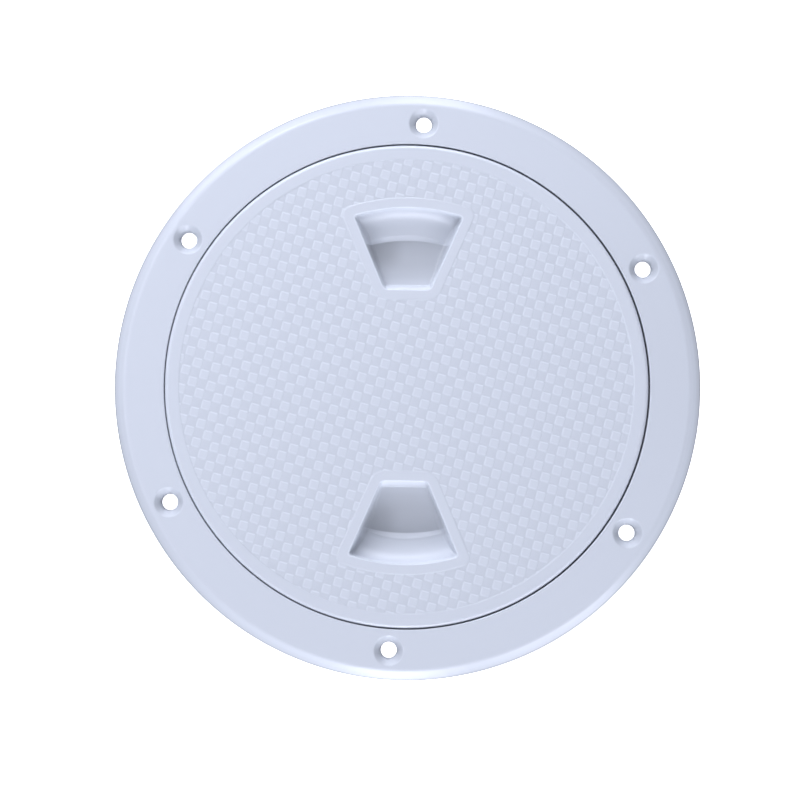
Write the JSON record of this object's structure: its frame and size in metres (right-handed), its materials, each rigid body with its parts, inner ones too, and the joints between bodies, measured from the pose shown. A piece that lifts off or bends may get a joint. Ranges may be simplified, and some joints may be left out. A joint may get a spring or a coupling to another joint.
{
  "type": "deck inspection plate",
  "caption": "Round screw-in deck inspection plate: countersunk flange with a threaded collar, a flush chequered cover with two finger recesses, and a rubber sealing ring.",
  "frame": {"origin": "centre of the plate in the deck plane, which is the flange's underside", "axes": "+Z out of the deck, along the cover's screw axis; +Y through one screw hole of the flange"},
  "size_m": [0.204, 0.204, 0.0234],
  "materials": {
    "frame_plastic": "white moulded plastic, satin gloss",
    "cover_plastic": "white moulded plastic, satin gloss with a chequered tread",
    "seal_rubber": "matt black rubber"
  },
  "bodies": {
    "frame": {"frame_ring": "frame_plastic"},
    "seal": {"o_ring": "seal_rubber"},
    "lid": {"cover": "cover_plastic"}
  },
  "joints": [
    {"name": "cover_lift", "type": "slide", "parent": "frame", "child": "seal", "axis": [0, 0, 1], "range_m": [0, 0.006]},
    {"name": "cover_turn", "type": "hinge", "parent": "seal", "child": "lid", "pos_m": [0, 0, 0], "axis": [0, 0, 1], "range_deg": [0, 540]}
  ],
  "couplings": [
    {"joint": "cover_lift", "follows": "cover_turn", "m_per_rad": 0.00063662}
  ]
}
